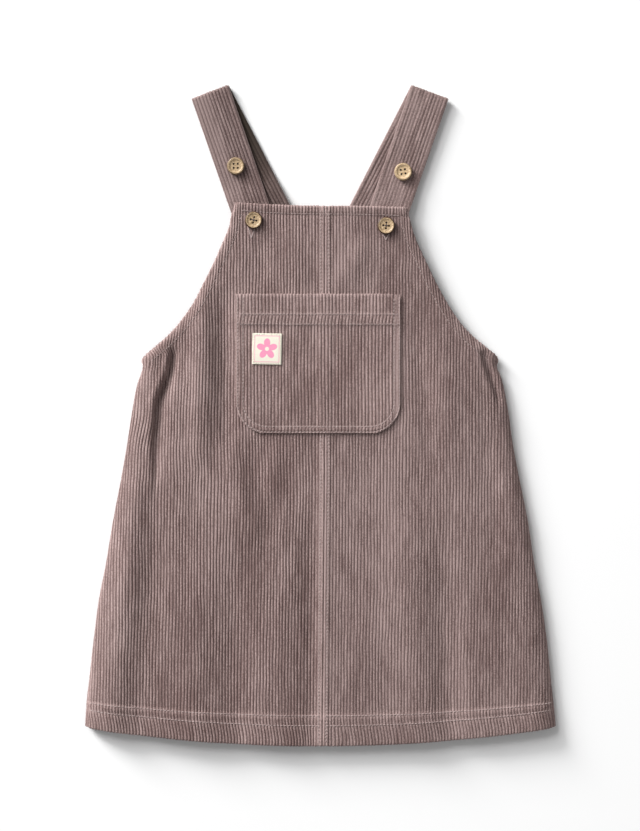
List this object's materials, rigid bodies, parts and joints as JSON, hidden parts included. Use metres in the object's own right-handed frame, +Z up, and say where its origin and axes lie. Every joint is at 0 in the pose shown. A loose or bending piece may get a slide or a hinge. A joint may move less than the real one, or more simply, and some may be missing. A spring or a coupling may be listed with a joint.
{
  "type": "pinafore dress",
  "caption": "Child's corduroy pinafore dress laid flat, with button-on shoulder straps, a centre front seam and a patch pocket.",
  "frame": {"origin": "on the surface that the dress lies on, under the middle of its outline", "axes": "+X to the right across the front seen from above, +Y from the hem to the shoulder straps, +Z up from the surface"},
  "size_m": [0.402, 0.5632, 0.0129],
  "materials": {
    "corduroy": "mauve taupe cotton corduroy, about ten wales to the inch, soft brushed pile",
    "label": "cream woven ribbon label with a pink motif",
    "button": "speckled tan coconut shell, lightly polished, darker rim"
  },
  "bodies": {
    "root": {"front_left": "corduroy", "front_right": "corduroy", "back": "corduroy", "strap_left": "corduroy", "strap_right": "corduroy", "pocket": "corduroy", "label": "label", "button_strap_left": "button", "button_strap_right": "button", "button_bib_left": "button", "button_bib_right": "button"}
  },
  "joints": []
}
